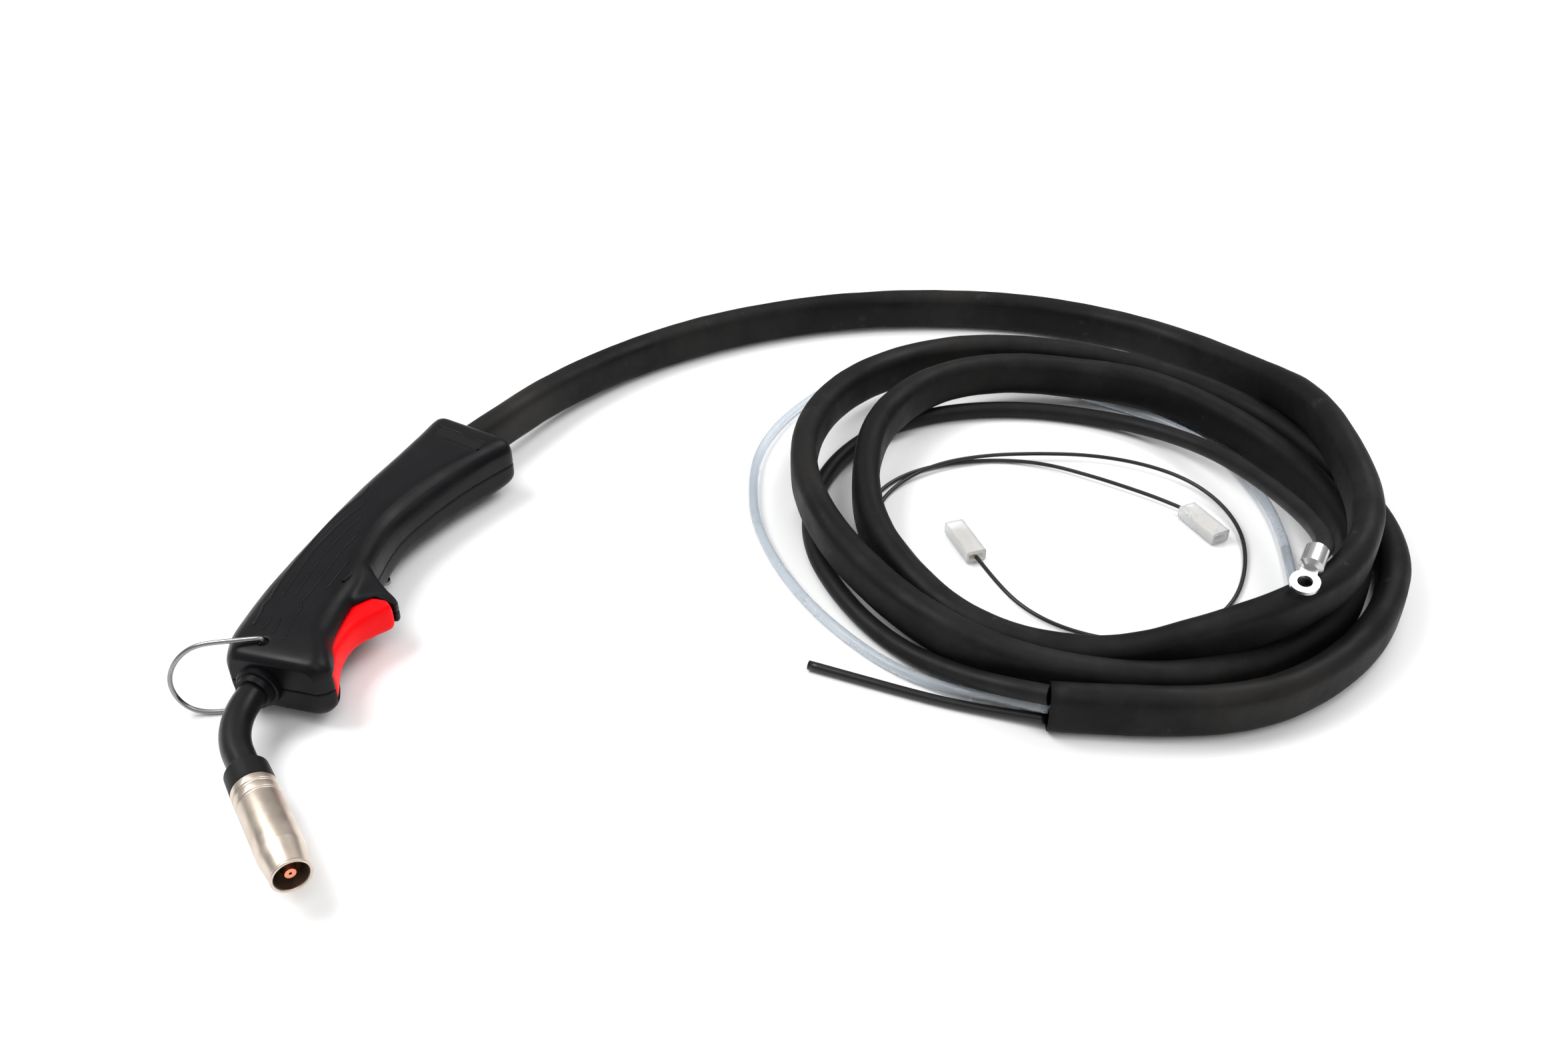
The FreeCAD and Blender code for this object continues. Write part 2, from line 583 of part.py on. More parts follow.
# clamp that grips the cable sleeve just inside the rear wall
CLAMP_HALF = 10.4
CLAMP_LONG = 8.0
clamp_room = handle_loft(HANDLE_SECTIONS[1:-1], WALL + 0.1)
clamp_hole = oval_bar(dim("sleeve_wide") + 0.02, dim("sleeve_tall") + 0.02, 20.0)
for name, low, high in (("cable_clamp_upper", 0.1, 13.9), ("cable_clamp_lower", -13.9, -0.1)):
    jaw = Part.makeBox(CLAMP_LONG, 2 * CLAMP_HALF, high - low, Vector(1.0, -CLAMP_HALF, low))
    jaw.Placement = Placement(CABLE_ENTRY, Rotation(UP, dim("cable_heading")))
    part_feature(name, jaw.cut(clamp_hole).common(clamp_room))

# hanging hook: a wire loop whose two ends turn in the shells
HX = dim("hook_x")
HY = dim("hook_y")
HOOK_BEND = 9.0
END_BEND = 2.4
tube("hook_wire", [(HX, HY, 29.0), (HX, HY, 36.9), (-53.5, 41.5, 36.6), (-56.2, 50.0, 29.0),
                   (-59.0, 55.6, 21.0), (-60.6, 55.9, 11.0), (-60.4, 50.0, 1.1),
                   (-58.0, 34.0, 1.1), (HX, HY, 1.1), (HX, HY, 10.0)], 2.2, 2.2,
     [END_BEND] + 6 * [HOOK_BEND] + [END_BEND])

# ---------------------------------------------------------------- cables
SHEATH_ROUTE = [
    (126, 14, 19), (180, -1, 18), (220, -12, 15), (265, -36, 13), (306, -71, 13),
    (340, -115, 13), (364, -163, 13), (379, -215, 13), (384, -267, 13), (374, -317, 14),
    (348, -361, 18), (309, -397, 27), (267, -421, 39), (216, -436, 41), (164, -444, 41),
    (116, -432, 41), (84, -405, 40), (72, -374, 28), (63, -339, 14), (59, -303, 13),
    (67, -271, 13), (92, -241, 13), (128, -212, 16), (172, -198, 22), (220, -197, 23),
    (266, -216, 22), (294, -252, 20), (301, -296, 18.5), (299, -341, 18), (278, -384, 13.5),
    (244, -415, 13), (200, -439, 13), (152, -444, 13), (111, -429, 13), (75, -401, 13),
    (52, -360, 13), (43, -315, 16), (50, -273, 17), (76, -231, 18), (112, -193, 22.5),
    (160, -167, 23), (212, -161, 23), (266, -176, 19.5), (305, -213, 18.5), (321, -263, 18.5),
    (319, -315, 18), (307, -369, 14), (275, -413, 13), (228, -445, 13), (177, -462, 13),
    (128, -455, 13), (85, -433, 13), (53, -402, 13), (36, -360, 13), (28, -311, 13),
]
POWER_ROUTE = [
    (28, -311, 19), (33, -289, 14.8), (42, -267, 10), (55, -244, 5.5), (71, -222, 5), (94, -201, 5),
    (120, -184, 5), (150, -175, 5), (180, -174, 5), (210, -180, 5), (241, -196, 5),
    (266, -226, 5), (280, -263, 5), (283, -302, 5), (274, -340, 8), (251, -372, 14),
    (220, -394, 21), (182, -411, 31), (150, -419, 41), (124, -420, 50), (108, -415, 56.5),
    (97, -411.5, 57.5),
]
GAS_ROUTE = [
    (28, -311, 11.6), (33.6, -289, 7.6), (37, -270, 3.2), (45, -241, 2.8), (61, -215, 3),
    (80, -192, 3), (106, -169, 3), (136, -150, 3), (168, -139, 3), (201, -133, 3),
    (235, -137, 3), (268, -149, 3), (304, -169, 3), (332, -196, 3), (338, -230, 3),
    (324, -265, 3), (307, -298, 3), (298, -333, 3), (280, -365, 3), (253, -390, 3),
    (218, -406, 3), (180, -414, 3), (145, -417, 3),
]
LINER_ROUTE = [(28, -311, 5.2), (29, -289, 3.2), (30, -263, 2.7), (34, -232, 2.7), (38, -203, 2.7)]
WIRE_A_ROUTE = [
    (32, -311, 13.4), (37, -296, 7), (47, -281, 2), (62, -257, 1.5), (82, -234, 1.5),
    (107, -215, 1.5), (135, -204, 1.5), (162, -201, 1.5), (188, -206, 1.5), (207, -219, 1.5),
    (221, -239, 1.5), (230, -263, 1.5), (231, -287, 2.5), (223, -313, 4), (216, -335, 4),
    (210, -351, 4), (204, -363, 4),
]
WIRE_B_ROUTE = [
    (32.5, -311, 10.2), (39, -297, 4), (51, -281, 1.5), (66, -257, 1.5), (87, -234, 1.5),
    (113, -216, 1.5), (144, -208, 1.5), (173, -207, 1.5), (195, -215, 2.5), (214, -231, 4),
    (228, -255, 4.5), (238, -283, 4), (243, -311, 4.5), (240, -339, 5.5), (230, -363, 6),
    (213, -381, 5), (191, -392, 3), (164, -394, 1.5), (136, -389, 1.5), (114, -376, 1.5),
    (98, -357, 1.5), (92, -335, 1.5), (94, -312, 2), (102, -293, 3), (116, -278, 4),
    (136, -264, 4),
]
tube("cable_sheath", SHEATH_ROUTE, dim("sleeve_wide"), dim("sleeve_tall"))
tube("power_cable", POWER_ROUTE, dim("power_dia"), dim("power_dia"))
tube("gas_hose", GAS_ROUTE, dim("gas_dia"), dim("gas_dia"))
tube("liner_tube", LINER_ROUTE, dim("liner_dia"), dim("liner_dia"))
tube("control_wire_a", WIRE_A_ROUTE, dim("wire_dia"), dim("wire_dia"))
tube("control_wire_b", WIRE_B_ROUTE, dim("wire_dia"), dim("wire_dia"))

# ---------------------------------------------------------------- ends of the cables
# ring lug crimped on the power cable: barrel along local X, ring beyond it
LUG_HOLE = 11.0
lug = make_body("cable_lug")
barrel = make_sketch(lug, "lug_barrel", "XZ_Plane")
polygon(barrel, [(-9.0, 4.55), (-9.0, 5.3), (1.0, 5.3), (2.5, 3.0), (2.5, 0), (0.5, 0), (0.5, 4.55)])
barrel_turned = lug.newObject("PartDesign::Revolution", "lug_barrel_turned")
barrel_turned.Profile = barrel
barrel_turned.ReferenceAxis = (barrel, ["H_Axis"])
tongue = make_sketch(lug, "lug_ring")
for edge in rounded_edges([(1.0, -3.6, 0.5), (5.5, -3.6, 0.5), (6.6, -6.2, 6.0), (17.4, -6.5, 6.1),
                           (17.4, 6.5, 6.1), (6.6, 6.2, 6.0), (5.5, 3.6, 0.5), (1.0, 3.6, 0.5)]):
    tongue.addGeometry(edge, False)
circle(tongue, LUG_HOLE, 0, 3.3)
tongue_pad = pad(lug, tongue, "1.8")
tongue_pad.Midplane = True
CABLE_END = Vector(*POWER_ROUTE[-1])
lug.Placement = Placement(CABLE_END, Rotation(UP, 166).multiply(Rotation(Vector(0, 1, 0), 12)))

# spade connectors on the two switch wires
HOUSING_LONG = 27.0
for letter, wire_end, far_end, lift in (("a", (204, -363), (181, -383), 4.3),
                                        ("b", (136, -264), (157, -250), 4.3)):
    heading = math.degrees(math.atan2(far_end[1] - wire_end[1], far_end[0] - wire_end[0]))
    place = Placement(Vector(wire_end[0], wire_end[1], lift), Rotation(UP, heading))
    housing = make_body("connector_housing_" + letter)
    section = make_sketch(housing, "housing_section_" + letter, "YZ_Plane")
    for edge in rounded_edges([(-5.2, -3.5, 1.2), (5.2, -3.5, 1.2), (5.2, 3.5, 1.2), (-5.2, 3.5, 1.2)]):
        section.addGeometry(edge, False)
    polygon(section, [(-3.9, -1.5), (3.9, -1.5), (3.9, 1.5), (-3.9, 1.5)])
    pad(housing, section, str(HOUSING_LONG))
    housing.Placement = place
    spade = make_body("spade_terminal_" + letter)
    blade = make_sketch(spade, "blade_" + letter)
    polygon(blade, [(7.0, -3.15), (22.0, -3.15), (23.0, -2.6), (23.0, 2.6), (22.0, 3.15), (7.0, 3.15)])
    blade_pad = pad(spade, blade, "0.8")
    blade_pad.Midplane = True
    crimp = make_sketch(spade, "crimp_" + letter, "XZ_Plane")
    polygon(crimp, [(1.0, 0), (1.0, 1.4), (8.0, 1.4), (8.0, 0)])
    crimp_turned = spade.newObject("PartDesign::Revolution", "crimp_turned_" + letter)
    crimp_turned.Profile = crimp
    crimp_turned.ReferenceAxis = (crimp, ["H_Axis"])
    spade.Placement = place

# ---------------------------------------------------------------- check and write
doc.recompute()
for thing in doc.Objects:
    if "Invalid" in thing.State or "Error" in thing.State:
        raise RuntimeError("failed feature: " + thing.Name)
os.makedirs("parts", exist_ok=True)
whole = FreeCAD.BoundBox()
CORDS = {"cable_sheath", "power_cable", "gas_hose", "liner_tube", "control_wire_a",
         "control_wire_b", "cable_lug", "connector_housing_a", "connector_housing_b",
         "spade_terminal_a", "spade_terminal_b"}
for made in PARTS:
    if made.Shape.isNull() or not made.Shape.isValid():
        raise RuntimeError("bad shape: " + made.Label)
    if len(made.Shape.Solids) != 1:
        print("solids", made.Label, len(made.Shape.Solids))
    if made.Label not in CORDS:
        whole.add(made.Shape.BoundBox)
    made.Shape.exportStep("parts/%s.step" % made.Label)
print("torch box", whole)
print(len(PARTS), "nodes")
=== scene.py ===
import json
import math

import bmesh
import bpy
from mathutils import Matrix, Vector, noise

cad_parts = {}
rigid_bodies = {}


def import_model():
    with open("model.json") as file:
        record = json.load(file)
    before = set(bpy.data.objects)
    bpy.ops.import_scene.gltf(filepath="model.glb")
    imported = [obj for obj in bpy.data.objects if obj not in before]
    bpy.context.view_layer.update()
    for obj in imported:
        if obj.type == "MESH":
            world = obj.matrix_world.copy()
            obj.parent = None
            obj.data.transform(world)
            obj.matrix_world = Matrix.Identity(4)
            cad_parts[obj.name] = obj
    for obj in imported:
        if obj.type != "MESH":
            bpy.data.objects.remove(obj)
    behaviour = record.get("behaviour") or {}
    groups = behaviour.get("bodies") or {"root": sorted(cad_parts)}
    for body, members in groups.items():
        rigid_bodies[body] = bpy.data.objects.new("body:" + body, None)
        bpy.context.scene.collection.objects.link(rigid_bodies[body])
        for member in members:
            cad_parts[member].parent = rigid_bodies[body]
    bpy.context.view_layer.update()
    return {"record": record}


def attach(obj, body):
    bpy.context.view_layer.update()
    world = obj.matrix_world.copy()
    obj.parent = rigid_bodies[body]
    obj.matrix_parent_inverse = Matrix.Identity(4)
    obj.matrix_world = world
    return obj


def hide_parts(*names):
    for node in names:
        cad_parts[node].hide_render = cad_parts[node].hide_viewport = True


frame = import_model()
MM = 0.001

# ------------------------------------------------------------------ camera
VIEW = Vector((0.7814, 0.2094, -0.5878)).normalized()
RIGHT = Vector((0.2588, -0.9659, 0.0)).normalized()
TOP = RIGHT.cross(VIEW)
camera = bpy.data.objects.new("camera", bpy.data.cameras.new("camera"))
camera.data.sensor_width = 36.0
camera.data.lens = 32.99
camera.data.clip_start = 0.01
turn = Matrix((RIGHT, TOP, -VIEW)).transposed()
camera.matrix_world = Matrix.Translation((-0.43635, -0.31855, 0.437)) @ turn.to_4x4()
bpy.context.scene.collection.objects.link(camera)
bpy.context.scene.camera = camera


# ------------------------------------------------------------------ small tools
def link(name, data):
    piece = bpy.data.objects.new(name, data)
    bpy.context.scene.collection.objects.link(piece)
    return piece


def make_mesh(name, points, faces, smooth=True):
    """A mesh from points in millimetres, with its faces turned outwards."""
    mesh = bpy.data.meshes.new(name)
    mesh.from_pydata([Vector(point) * MM for point in points], [], faces)
    tidy = bmesh.new()
    tidy.from_mesh(mesh)
    bmesh.ops.recalc_face_normals(tidy, faces=tidy.faces)
    tidy.to_mesh(mesh)
    tidy.free()
    for face in mesh.polygons:
        face.use_smooth = smooth
    return link(name, mesh)


def loft(name, rings, smooth=True):
    """A closed skin over rings of points that all have the same count."""
    count = len(rings[0])
    points = [point for ring in rings for point in ring]
    faces = []
    for step in range(len(rings) - 1):
        base = step * count
        for side in range(count):
            after = (side + 1) % count
            faces.append((base + side, base + after, base + count + after, base + count + side))
    faces.append(tuple(range(count)))
    faces.append(tuple(range(len(points) - count, len(points))))
    return make_mesh(name, points, faces, smooth)


def settle(piece):
    """Makes a piece's modifiers part of its mesh."""
    graph = bpy.context.evaluated_depsgraph_get()
    done = bpy.data.meshes.new_from_object(piece.evaluated_get(graph))
    piece.modifiers.clear()
    piece.data = done


def even_out(piece, cell):
    """Rebuilds a mesh from even cells, given in millimetres, and softens its edges."""
    remesh = piece.modifiers.new("remesh", "REMESH")
    remesh.mode = "VOXEL"
    remesh.voxel_size = cell * MM
    soften = piece.modifiers.new("soften", "SMOOTH")
    soften.factor = 0.5
    soften.iterations = 5
    settle(piece)


def thin_out(piece, kept=0.3):
    """Leaves about this part of a mesh's faces."""
    thin = piece.modifiers.new("thin", "DECIMATE")
    thin.ratio = kept
    settle(piece)


def combine(piece, tool, operation):
    """Joins, cuts or trims a piece with another one, which is used up."""
    change = piece.modifiers.new(operation, "BOOLEAN")
    change.operation = operation
    change.object = tool
    change.solver = "EXACT"
    settle(piece)
    bpy.data.objects.remove(tool)


def copy_of(piece, name):
    twin = piece.copy()
    twin.data = piece.data.copy()
    twin.name = name
    bpy.context.scene.collection.objects.link(twin)
    return twin


def join(piece, others):
    """Adds other pieces' meshes to this one's."""
    whole = bmesh.new()
    whole.from_mesh(piece.data)
    for other in others:
        whole.from_mesh(other.data)
    whole.to_mesh(piece.data)
    whole.free()
    for other in others:
        bpy.data.objects.remove(other)
    for face in piece.data.polygons:
        face.use_smooth = True


# ------------------------------------------------------------------ materials
class Look:
    """A node material whose colour, roughness and bump all vary over the surface."""

    def __init__(self, name, colour, rough, metal=0.0, **sockets):
        self.made = bpy.data.materials.new(name)
        self.made.use_nodes = True
        self.tree = self.made.node_tree
        self.shader = self.tree.nodes["Principled BSDF"]
        self.shader.inputs["Base Color"].default_value = (*colour, 1.0)
        self.shader.inputs["Roughness"].default_value = rough
        self.shader.inputs["Metallic"].default_value = metal
        for socket, value in sockets.items():
            self.shader.inputs[socket.replace("_", " ")].default_value = value
        self.colour = colour
        self.rough = rough
        self.place = self.tree.nodes.new("ShaderNodeTexCoord").outputs["Object"]
        self.heights = []

    def noise(self, scale, detail=4.0, rough=0.55, stretch=None):
        node = self.tree.nodes.new("ShaderNodeTexNoise")
        node.inputs["Scale"].default_value = scale
        node.inputs["Detail"].default_value = detail
        node.inputs["Roughness"].default_value = rough
        place = self.place
        if stretch:
            mapping = self.tree.nodes.new("ShaderNodeMapping")
            mapping.inputs["Scale"].default_value = stretch
            self.tree.links.new(self.place, mapping.inputs["Vector"])
            place = mapping.outputs["Vector"]
        self.tree.links.new(place, node.inputs["Vector"])
        return node.outputs["Fac"]

    def span(self, value, low, high, start, end):
        node = self.tree.nodes.new("ShaderNodeMapRange")
        sockets = ("From Min", "From Max", "To Min", "To Max")
        for socket, number in zip(sockets, (low, high, start, end)):
            node.inputs[socket].default_value = number
        self.tree.links.new(value, node.inputs["Value"])
        return node.outputs["Result"]

    def vary_colour(self, value, other, low=0.35, high=0.65):
        mix = self.tree.nodes.new("ShaderNodeMix")
        mix.data_type = "RGBA"
        self.tree.links.new(self.span(value, low, high, 0.0, 1.0), mix.inputs["Factor"])
        before = self.shader.inputs["Base Color"]
        if before.is_linked:
            self.tree.links.new(before.links[0].from_socket, mix.inputs["A"])
        else:
            mix.inputs["A"].default_value = (*self.colour, 1.0)
        mix.inputs["B"].default_value = (*other, 1.0)
        self.tree.links.new(mix.outputs["Result"], before)
        return self

    def vary_rough(self, value, spread, low=0.35, high=0.65):
        made = self.span(value, low, high, self.rough - spread, self.rough + spread)
        self.tree.links.new(made, self.shader.inputs["Roughness"])
        return self

    def bump(self, value, distance, strength=1.0):
        node = self.tree.nodes.new("ShaderNodeBump")
        node.inputs["Strength"].default_value = strength
        node.inputs["Distance"].default_value = distance
        self.tree.links.new(value, node.inputs["Height"])
        normal = self.shader.inputs["Normal"]
        if normal.is_linked:
            self.tree.links.new(normal.links[0].from_socket, node.inputs["Normal"])
        self.tree.links.new(node.outputs["Normal"], normal)
        return self


def grained(name, colour, rough, worn, grain=2600.0, depth=0.00006, **sockets):
    """Moulded plastic or rubber: fine grain, slow mottling and paler scuffs."""
    look = Look(name, colour, rough, **sockets)
    look.vary_colour(look.noise(60.0, 6.0), worn, 0.45, 0.85)
    look.vary_colour(look.noise(900.0, 2.0), worn, 0.66, 0.74)
    look.vary_rough(look.noise(45.0, 5.0), 0.07)
    look.bump(look.noise(grain, 2.0), depth, 0.6)
    look.bump(look.noise(120.0, 3.0), 0.0001, 0.25)
    return look.made


def metal(name, colour, rough, stain, stretch=(1.0, 1.0, 1.0), scale=300.0, **sockets):
    """Bare or plated metal: fine grain, smudges and small pits."""
    look = Look(name, colour, rough, 1.0, **sockets)
    look.vary_colour(look.noise(55.0, 5.0), stain, 0.42, 0.8)
    look.vary_rough(look.noise(110.0, 5.0), 0.08)
    look.bump(look.noise(scale, 3.0, stretch=stretch), 0.00001, 0.3)
    look.bump(look.noise(1500.0, 2.0), 0.00001, 0.2)
    return look.made


def rubber_cover():
    """Soft rubber with grey dust rubbed into it in uneven patches."""
    look = Look("sheath_rubber", (0.0045, 0.0045, 0.005), 0.55, Specular_IOR_Level=0.14)
    look.vary_colour(look.noise(9.0, 6.0, 0.65), (0.02, 0.0185, 0.017), 0.48, 0.72)
    look.vary_colour(look.noise(70.0, 8.0, 0.7), (0.045, 0.04, 0.035), 0.62, 0.8)
    look.vary_rough(look.noise(30.0, 5.0), 0.1)
    look.bump(look.noise(1500.0, 2.0), 0.00008, 0.5)
    look.bump(look.noise(90.0, 6.0, 0.6), 0.0004, 0.5)
    return look.made


LOOKS = {
    "handle_plastic": grained("handle_plastic", (0.0035, 0.0035, 0.0045), 0.38,
                              (0.006, 0.006, 0.0072), Specular_IOR_Level=0.16),
    "label_plastic": grained("label_plastic", (0.004, 0.004, 0.0045), 0.28, (0.008, 0.008, 0.008),
                             Specular_IOR_Level=0.2),
    "neck_insulation": grained("neck_insulation", (0.007, 0.007, 0.0075), 0.34,
                               (0.012, 0.012, 0.013), 1800.0, Specular_IOR_Level=0.2),
    "insulator_plastic": grained("insulator_plastic", (0.007, 0.007, 0.0075), 0.48,
                                 (0.012, 0.012, 0.0125), Specular_IOR_Level=0.16),
    "switch_plastic": grained("switch_plastic", (0.02, 0.02, 0.022), 0.5, (0.03, 0.03, 0.03)),
    "trigger_plastic": grained("trigger_plastic", (0.93, 0.0006, 0.003), 0.42, (0.96, 0.002, 0.006),
                               500.0, 0.00001, Specular_IOR_Level=0.12),
    "connector_plastic": grained("connector_plastic", (0.9, 0.91, 0.91), 0.32, (0.8, 0.81, 0.81),
                                 600.0, 0.00002, Transmission_Weight=0.6, IOR=1.45),
    "liner_plastic": grained("liner_plastic", (0.006, 0.006, 0.0065), 0.3, (0.01, 0.01, 0.01),
                             Specular_IOR_Level=0.4),
    "wire_insulation": grained("wire_insulation", (0.006, 0.006, 0.0065), 0.32,
                               (0.011, 0.011, 0.011), 900.0, Specular_IOR_Level=0.4),
    "sheath_rubber": rubber_cover(),
    "cable_rubber": grained("cable_rubber", (0.008, 0.008, 0.0085), 0.5, (0.016, 0.016, 0.016),
                            1400.0, Specular_IOR_Level=0.16),
    "hose_clear": grained("hose_clear", (0.78, 0.83, 0.88), 0.22, (0.7, 0.76, 0.82), 700.0,
                          0.00001, Transmission_Weight=0.75, IOR=1.35),
    "steel": metal("steel", (0.3, 0.3, 0.3), 0.3, (0.2, 0.195, 0.19)),
    "spring_steel": metal("spring_steel", (0.45, 0.45, 0.45), 0.32, (0.3, 0.29, 0.28)),
    "brass": metal("brass", (0.72, 0.5, 0.2), 0.3, (0.55, 0.36, 0.14)),
    "copper_tube": metal("copper_tube", (0.8, 0.36, 0.2), 0.35, (0.5, 0.22, 0.12)),
    "tip_copper": metal("tip_copper", (0.86, 0.33, 0.2), 0.25, (0.6, 0.22, 0.13)),
    "nozzle_copper": metal("nozzle_copper", (0.66, 0.575, 0.49), 0.36, (0.57, 0.49, 0.41)),
    "lug_metal": metal("lug_metal", (0.62, 0.62, 0.62), 0.26, (0.42, 0.41, 0.4)),
}

for part in frame["record"]["subparts"]:
    node = bpy.data.objects[part["node"]]
    for place in node.material_slots:
        place.link = "OBJECT"
        place.material = LOOKS[part["material_slot"]]


def finish_piece(piece, body, slot, *nodes):
    """Gives a new piece its material, its body, and the CAD nodes it stands for."""
    piece.data.materials.clear()
    piece.data.materials.append(LOOKS[slot])
    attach(piece, body)
    if nodes:
        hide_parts(*nodes)


# ------------------------------------------------------------------ cords
# Centre lines in millimetres, from the handle or from the cover's cut end.
SHEATH_ROUTE = [
    (126, 14, 19), (180, -1, 18), (220, -12, 15), (265, -36, 13), (306, -71, 13),
    (340, -115, 13), (364, -163, 13), (379, -215, 13), (384, -267, 13), (374, -317, 14),
    (348, -361, 18), (309, -397, 27), (267, -421, 39), (216, -436, 41), (164, -444, 41),
    (116, -432, 41), (84, -405, 40), (72, -374, 28), (63, -339, 14), (59, -303, 13),
    (67, -271, 13), (92, -241, 13), (128, -212, 16), (172, -198, 22), (220, -197, 23),
    (266, -216, 22), (294, -252, 20), (301, -296, 18.5), (299, -341, 18), (278, -384, 13.5),
    (244, -415, 13), (200, -439, 13), (152, -444, 13), (111, -429, 13), (75, -401, 13),
    (52, -360, 13), (43, -315, 16), (50, -273, 17), (76, -231, 18), (112, -193, 22.5),
    (160, -167, 23), (212, -161, 23), (266, -176, 19.5), (305, -213, 18.5), (321, -263, 18.5),
    (319, -315, 18), (307, -369, 14), (275, -413, 13), (228, -445, 13), (177, -462, 13),
    (128, -455, 13), (85, -433, 13), (53, -402, 13), (36, -360, 13), (28, -311, 13),
]
POWER_ROUTE = [
    (28, -311, 19), (33, -289, 14.8), (42, -267, 10), (55, -244, 5.5), (71, -222, 5), (94, -201, 5),
    (120, -184, 5), (150, -175, 5), (180, -174, 5), (210, -180, 5), (241, -196, 5),
    (266, -226, 5), (280, -263, 5), (283, -302, 5), (274, -340, 8), (251, -372, 14),
    (220, -394, 21), (182, -411, 31), (150, -419, 41), (124, -420, 50), (108, -415, 56.5),
    (97, -411.5, 57.5),
]
GAS_ROUTE = [
    (28, -311, 11.6), (33.6, -289, 7.6), (37, -270, 3.2), (45, -241, 2.8), (61, -215, 3),
    (80, -192, 3), (106, -169, 3), (136, -150, 3), (168, -139, 3), (201, -133, 3),
    (235, -137, 3), (268, -149, 3), (304, -169, 3), (332, -196, 3), (338, -230, 3),
    (324, -265, 3), (307, -298, 3), (298, -333, 3), (280, -365, 3), (253, -390, 3),
    (218, -406, 3), (180, -414, 3), (145, -417, 3),
]
LINER_ROUTE = [(28, -311, 5.2), (29, -289, 3.2), (30, -263, 2.7), (34, -232, 2.7), (38, -203, 2.7)]
WIRE_A_ROUTE = [
    (32, -311, 13.4), (37, -296, 7), (47, -281, 2), (62, -257, 1.5), (82, -234, 1.5),
    (107, -215, 1.5), (135, -204, 1.5), (162, -201, 1.5), (188, -206, 1.5), (207, -219, 1.5),
    (221, -239, 1.5), (230, -263, 1.5), (231, -287, 2.5), (223, -313, 4), (216, -335, 4),
    (210, -351, 4), (204, -363, 4),
]
WIRE_B_ROUTE = [
    (32.5, -311, 10.2), (39, -297, 4), (51, -281, 1.5), (66, -257, 1.5), (87, -234, 1.5),
    (113, -216, 1.5), (144, -208, 1.5), (173, -207, 1.5), (195, -215, 2.5), (214, -231, 4),
    (228, -255, 4.5), (238, -283, 4), (243, -311, 4.5), (240, -339, 5.5), (230, -363, 6),
    (213, -381, 5), (191, -392, 3), (164, -394, 1.5), (136, -389, 1.5), (114, -376, 1.5),
    (98, -357, 1.5), (92, -335, 1.5), (94, -312, 2), (102, -293, 3), (116, -278, 4),
    (136, -264, 4),
]


def route_curve(name, route, radius):
    """A smooth curve along a route, as a solid round wire if it has a radius."""
    curve = bpy.data.curves.new(name, "CURVE")
    curve.dimensions = "3D"
    curve.resolution_u = 10
    curve.bevel_depth = radius * MM
    curve.bevel_resolution = 7
    curve.use_fill_caps = radius > 0
    line = curve.splines.new("NURBS")
    line.points.add(len(route) - 1)
    for point, place in zip(line.points, route):
        point.co = (*(Vector(place) * MM), 1.0)
    line.order_u = 3
    line.use_endpoint_u = True
    return link(name, curve)


def read_path(route):
    """Points along a route's own smooth line, in metres."""
    guide = route_curve("guide", route, 0.0)
    graph = bpy.context.evaluated_depsgraph_get()
    line = bpy.data.meshes.new_from_object(guide.evaluated_get(graph))
    points = [vertex.co.copy() for vertex in line.vertices]
    bpy.data.objects.remove(guide)
    bpy.data.meshes.remove(line)
    return points


def length_of(points):
    return sum((b - a).length for a, b in zip(points, points[1:]))


def round_cord(name, route, diameter, slot):
    cord = route_curve(name + "_cord", route, diameter / 2)
    finish_piece(cord, "torch", slot, name)
    length_of(read_path(route))
    return cord


def ring_round(path, step):
    """The way along a path at one of its points, and the level direction across it."""
    before = path[max(step - 1, 0)]
    after = path[min(step + 1, len(path) - 1)]
    along = (after - before).normalized()
    across = along.cross(Vector((0, 0, 1))).normalized()
    return along, across, across.cross(along)


SIDES = 48


def oval_ring(path, step, run, wide, tall, creased):
    """A hose's oval at one step, with soft creases along it."""
    along, across, up = ring_round(path, step)
    points = []
    flat = (tall - wide) / 2
    for side in range(SIDES):
        angle = 2 * math.pi * side / SIDES
        x = wide / 2 * math.cos(angle)
        y = wide / 2 * math.sin(angle) + math.copysign(flat, math.sin(angle)) * min(
            1.0, abs(math.sin(angle)) * 4)
        crease = noise.noise(Vector((math.cos(angle) * 0.8, math.sin(angle) * 0.8, run * 14.0)))
        fold = noise.noise(Vector((math.cos(angle) * 1.6, math.sin(angle) * 1.6, run * 75.0)))
        swell = 1.0 + (crease * 0.05 + fold * 0.02) * creased
        points.append((path[step] + (across * x + up * y) * MM * swell) / MM)
    return points


def hollow_cord(name, route, wide, tall, wall, creased, slot):
    """A cover or hose along its route, cut off square at its free end, with the bore showing."""
    path = read_path(route)
    rings = []
    run = 0.0
    for step in range(len(path)):
        if step:
            run += (path[step] - path[step - 1]).length
        rings.append(oval_ring(path, step, run, wide, tall, creased))
    last = len(path) - 1
    for back, thin in ((0, 0.15), (0, wall * 0.8), (1, wall), (4, wall), (7, wall)):
        rings.append(oval_ring(path, last - back, run, wide - 2 * thin, tall - 2 * thin,
                               creased * 0.5))
    cord = loft(name + "_cord", rings)
    finish_piece(cord, "torch", slot, name)
    return cord


